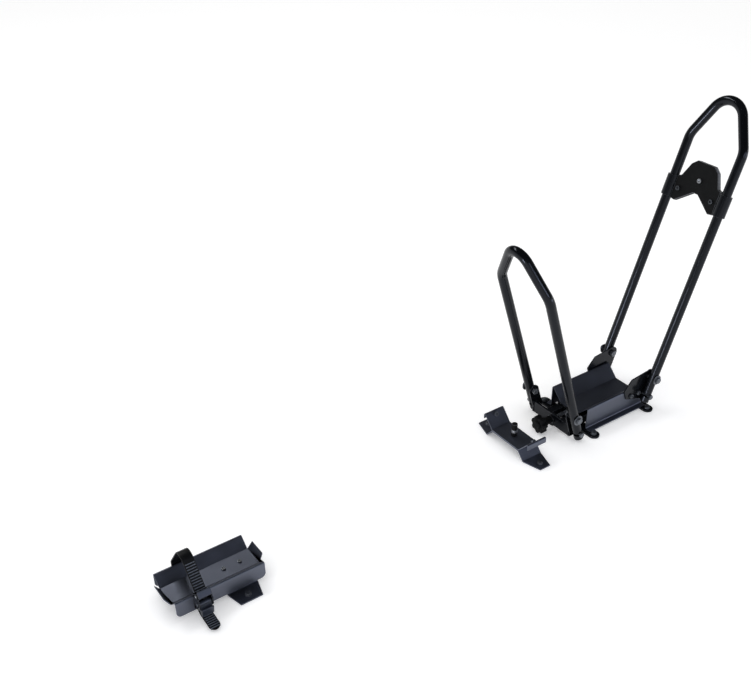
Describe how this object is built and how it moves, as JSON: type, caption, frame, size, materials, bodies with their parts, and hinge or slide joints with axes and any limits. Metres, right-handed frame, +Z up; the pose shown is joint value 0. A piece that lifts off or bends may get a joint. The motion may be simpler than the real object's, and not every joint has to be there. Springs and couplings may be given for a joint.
{
  "type": "roof mounted bike carrier",
  "caption": "Roof bike carrier: a front wheel clamp with two folding hoops and a screw knob, a middle saddle and a strapped rear wheel tray, on bolt-down feet.",
  "frame": {"origin": "centre of the front clamp's four foot bolts, in the plane of the feet's undersides", "axes": "+X forward along the bicycle, +Y to the left, +Z up"},
  "size_m": [1.6981, 0.252, 0.8296],
  "materials": {
    "black_coat": "satin black powder coat on steel",
    "zinc_plate": "bright zinc plate",
    "dark_plate": "black passivated zinc plate",
    "plain_steel": "turned steel",
    "black_plastic": "moulded black nylon",
    "strap_plastic": "moulded grey strap plastic"
  },
  "bodies": {
    "base": {"front_cradle": "black_coat", "rear_foot_bar": "black_coat", "front_foot_bar": "black_coat", "foot_bolts": "dark_plate", "foot_washers": "dark_plate", "guide_sleeve_right": "black_coat", "guide_sleeve_left": "black_coat", "screw_block": "black_coat", "drive_nut": "plain_steel", "leg_bracket_right": "black_coat", "leg_bracket_left": "black_coat", "bracket_bolts": "dark_plate", "bracket_nuts": "dark_plate", "front_pivot_bolts": "dark_plate", "front_pivot_discs": "dark_plate", "front_pivot_nuts": "dark_plate", "front_lock_bolts": "dark_plate", "front_lock_nuts": "dark_plate", "saddle_bracket": "black_coat", "saddle": "black_coat", "saddle_stud": "plain_steel", "saddle_nuts": "zinc_plate", "stud_spacer": "black_plastic", "stud_cap": "black_plastic", "ear_bolts": "dark_plate", "rear_tray": "black_coat", "tray_bracket": "black_coat", "tray_bolts": "dark_plate", "bracket_foot_bolts": "dark_plate", "strap": "strap_plastic", "strap_rivets": "zinc_plate", "buckle_frame": "black_coat"},
    "front_hoop": {"front_hoop": "black_coat", "front_hoop_bushes": "plain_steel", "front_hoop_plugs": "black_plastic"},
    "wheel_stop": {"stop_plate": "black_plastic", "stop_sleeve_right": "black_coat", "stop_sleeve_left": "black_coat", "stop_liners": "black_plastic", "stop_bolts": "zinc_plate", "stop_nuts": "zinc_plate"},
    "carriage": {"crossbar": "black_coat", "lug_right": "black_coat", "lug_left": "black_coat", "guide_rail_right": "black_coat", "guide_rail_left": "black_coat", "screw_bush": "plain_steel", "rear_pivot_bolts": "dark_plate", "rear_pivot_nuts": "dark_plate", "rear_lock_bolts": "dark_plate", "rear_lock_nuts": "dark_plate"},
    "knob": {"clamp_screw": "dark_plate", "clamp_knob": "black_plastic", "knob_hub": "black_plastic", "retaining_collar": "plain_steel"},
    "rear_hoop": {"rear_hoop": "black_coat", "rear_hoop_bushes": "plain_steel", "rear_hoop_plugs": "black_plastic"},
    "buckle_lever": {"buckle_lever": "black_plastic"},
    "buckle_pawl": {"buckle_pawl": "black_plastic"}
  },
  "joints": [
    {"name": "front_hoop_fold", "type": "hinge", "parent": "base", "child": "front_hoop", "pos_m": [0.1217, 0, 0.093], "axis": [0, -1, 0], "range_deg": [0, 58]},
    {"name": "wheel_stop_slide", "type": "slide", "parent": "front_hoop", "child": "wheel_stop", "axis": [0.342, 0, 0.9397], "range_m": [-0.12, 0.06]},
    {"name": "clamp_slide", "type": "slide", "parent": "base", "child": "carriage", "axis": [1, 0, 0], "range_m": [-0.035, 0.01]},
    {"name": "knob_turn", "type": "hinge", "parent": "carriage", "child": "knob", "pos_m": [-0.21, 0, 0.0265], "axis": [1, 0, 0], "range_deg": [-4200, 1200]},
    {"name": "rear_hoop_fold", "type": "hinge", "parent": "carriage", "child": "rear_hoop", "pos_m": [-0.1738, 0, 0.082], "axis": [0, -1, 0], "range_deg": [0, 72.2]},
    {"name": "buckle_lever_swing", "type": "hinge", "parent": "base", "child": "buckle_lever", "pos_m": [-1.238, -0.077, 0.047], "axis": [-1, 0, 0], "range_deg": [0, 75]},
    {"name": "buckle_pawl_release", "type": "hinge", "parent": "base", "child": "buckle_pawl", "pos_m": [-1.238, -0.0745, 0.069], "axis": [-1, 0, 0], "range_deg": [0, 25]}
  ],
  "couplings": [
    {"joint": "knob_turn", "follows": "clamp_slide", "rad_per_m": 2094.4}
  ]
}
